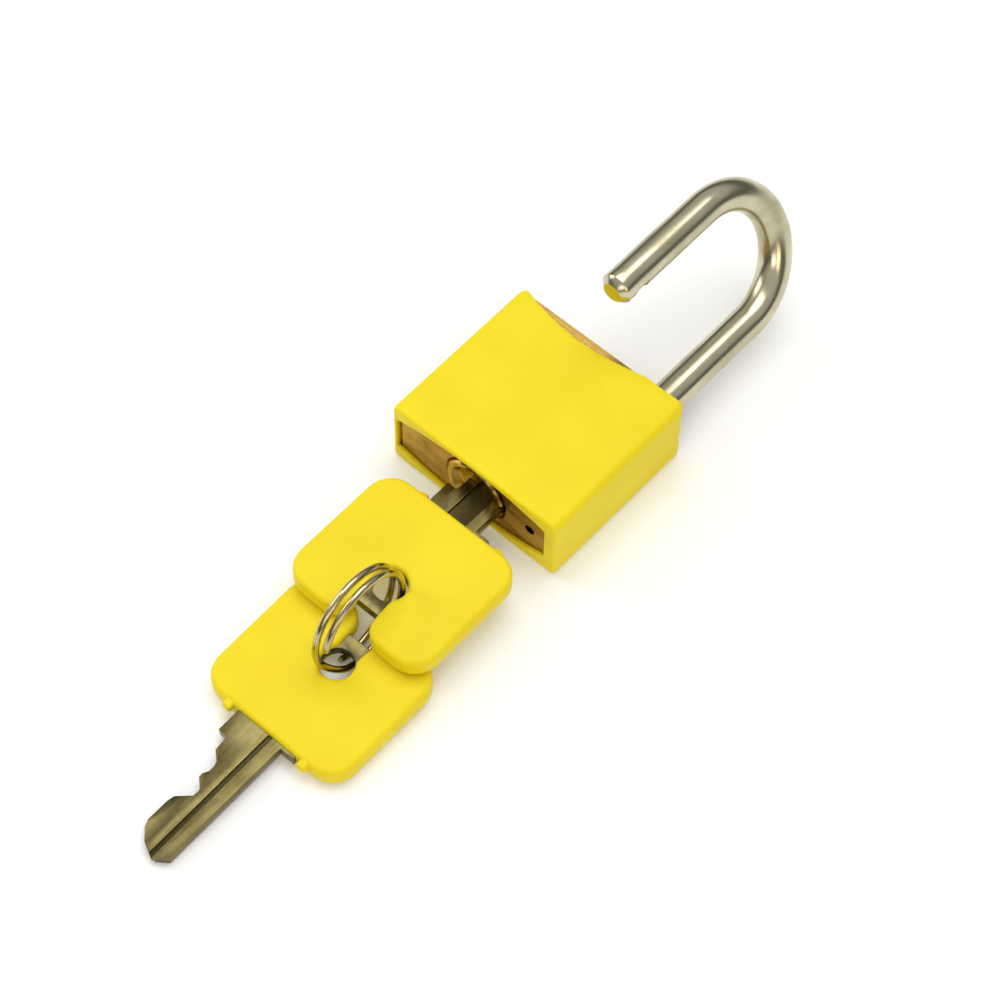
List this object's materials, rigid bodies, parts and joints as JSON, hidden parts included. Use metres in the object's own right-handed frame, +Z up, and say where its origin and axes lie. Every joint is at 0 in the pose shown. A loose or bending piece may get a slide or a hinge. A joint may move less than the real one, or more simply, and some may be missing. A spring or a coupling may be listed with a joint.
{
  "type": "keyed padlock",
  "caption": "Small brass keyed padlock in a soft coloured jacket, shackle open, with a covered key in the plug and a spare on a split ring.",
  "frame": {"origin": "centre of the jacket's back face, on which the lock lies", "axes": "+X across the body towards the shackle's heel, +Y from the keyway end to the shackle, +Z up from the back face"},
  "size_m": [0.0375, 0.1551, 0.0326],
  "materials": {
    "brass": "brushed brass",
    "plug_brass": "turned brass",
    "pin_brass": "turned brass",
    "yellow_jacket": "satin soft polymer",
    "yellow_cover": "satin soft polymer",
    "plated_steel": "polished plating",
    "key_metal": "worn nickel plating",
    "ring_metal": "polished nickel plating",
    "spring_steel": "drawn spring wire",
    "steel_pin": "ground steel"
  },
  "bodies": {
    "lock": {"brass_body": "brass", "jacket": "yellow_jacket", "shackle_retaining_pin": "steel_pin", "channel_plug": "brass", "plug_retaining_pin": "steel_pin", "latch_spring": "spring_steel", "pin_spring_1": "spring_steel", "pin_spring_2": "spring_steel", "pin_spring_3": "spring_steel", "pin_spring_4": "spring_steel", "chamber_plug_1": "brass", "chamber_plug_2": "brass", "chamber_plug_3": "brass", "chamber_plug_4": "brass"},
    "shackle_swivel": {"shackle_spring": "spring_steel"},
    "shackle": {"shackle": "plated_steel"},
    "plug": {"plug": "plug_brass", "cam_pin": "steel_pin"},
    "latch": {"latch_bolt": "steel_pin"},
    "key_1": {"key_1_blade": "key_metal", "key_1_cover": "yellow_cover"},
    "ring": {"split_ring": "ring_metal"},
    "key_2": {"key_2_blade": "key_metal", "key_2_cover": "yellow_cover"},
    "key_pin_1": {"key_pin_1": "pin_brass"},
    "driver_pin_1": {"driver_pin_1": "steel_pin"},
    "key_pin_2": {"key_pin_2": "pin_brass"},
    "driver_pin_2": {"driver_pin_2": "steel_pin"},
    "key_pin_3": {"key_pin_3": "pin_brass"},
    "driver_pin_3": {"driver_pin_3": "steel_pin"},
    "key_pin_4": {"key_pin_4": "pin_brass"},
    "driver_pin_4": {"driver_pin_4": "steel_pin"}
  },
  "joints": [
    {"name": "shackle_turn", "type": "hinge", "parent": "lock", "child": "shackle_swivel", "pos_m": [0.0121, 0, 0.0075], "axis": [0, 1, 0], "range_deg": [-62, 118]},
    {"name": "shackle_lift", "type": "slide", "parent": "shackle_swivel", "child": "shackle", "axis": [0, 1, 0], "range_m": [-0.0113, 0], "stiffness_N_per_m": 350, "springref_m": 0.012, "deforming": ["shackle_spring"]},
    {"name": "plug_turn", "type": "hinge", "parent": "lock", "child": "plug", "pos_m": [0, 0, 0.0075], "axis": [0, 1, 0], "range_deg": [0, 80], "stiffness_Nm_per_rad": 0.0004, "springref_deg": -85.94},
    {"name": "latch_slide", "type": "slide", "parent": "lock", "child": "latch", "axis": [1, 0, 0], "range_m": [0, 0.0021], "deforming": ["latch_spring"]},
    {"name": "key_withdraw", "type": "slide", "parent": "plug", "child": "key_1", "axis": [0, 1, 0], "range_m": [-0.0275, 0], "deforming": ["key_pin_1", "key_pin_2"]},
    {"name": "ring_swing", "type": "hinge", "parent": "key_1", "child": "ring", "pos_m": [0.0026, -0.0397, 0.0075], "axis": [1, 0, 0], "range_deg": [0, 25]},
    {"name": "key_2_swing", "type": "hinge", "parent": "ring", "child": "key_2", "pos_m": [0.0038, -0.0484, 0.01019], "axis": [-0.9982, -0.0383, -0.0471], "range_deg": [0, 35]},
    {"name": "key_pin_1_lift", "type": "slide", "parent": "plug", "child": "key_pin_1", "axis": [1, 0, 0], "range_m": [-0.0025, 0]},
    {"name": "driver_pin_1_lift", "type": "slide", "parent": "lock", "child": "driver_pin_1", "axis": [1, 0, 0], "range_m": [-0.0025, 0], "stiffness_N_per_m": 40, "springref_m": 0.004, "deforming": ["pin_spring_1"]},
    {"name": "key_pin_2_lift", "type": "slide", "parent": "plug", "child": "key_pin_2", "axis": [1, 0, 0], "range_m": [-0.0025, 0]},
    {"name": "driver_pin_2_lift", "type": "slide", "parent": "lock", "child": "driver_pin_2", "axis": [1, 0, 0], "range_m": [-0.0025, 0], "stiffness_N_per_m": 40, "springref_m": 0.004, "deforming": ["pin_spring_2"]},
    {"name": "key_pin_3_lift", "type": "slide", "parent": "plug", "child": "key_pin_3", "axis": [1, 0, 0], "range_m": [-0.0025, 0]},
    {"name": "driver_pin_3_lift", "type": "slide", "parent": "lock", "child": "driver_pin_3", "axis": [1, 0, 0], "range_m": [-0.0025, 0], "stiffness_N_per_m": 40, "springref_m": 0.004, "deforming": ["pin_spring_3"]},
    {"name": "key_pin_4_lift", "type": "slide", "parent": "plug", "child": "key_pin_4", "axis": [1, 0, 0], "range_m": [-0.0025, 0]},
    {"name": "driver_pin_4_lift", "type": "slide", "parent": "lock", "child": "driver_pin_4", "axis": [1, 0, 0], "range_m": [-0.0025, 0], "stiffness_N_per_m": 40, "springref_m": 0.004, "deforming": ["pin_spring_4"]}
  ],
  "couplings": [
    {"joint": "latch_slide", "follows": "plug_turn", "m_per_rad": 0.0014732},
    {"joint": "driver_pin_1_lift", "follows": "key_pin_1_lift", "ratio": 1},
    {"joint": "driver_pin_2_lift", "follows": "key_pin_2_lift", "ratio": 1},
    {"joint": "driver_pin_3_lift", "follows": "key_pin_3_lift", "ratio": 1},
    {"joint": "driver_pin_4_lift", "follows": "key_pin_4_lift", "ratio": 1}
  ]
}
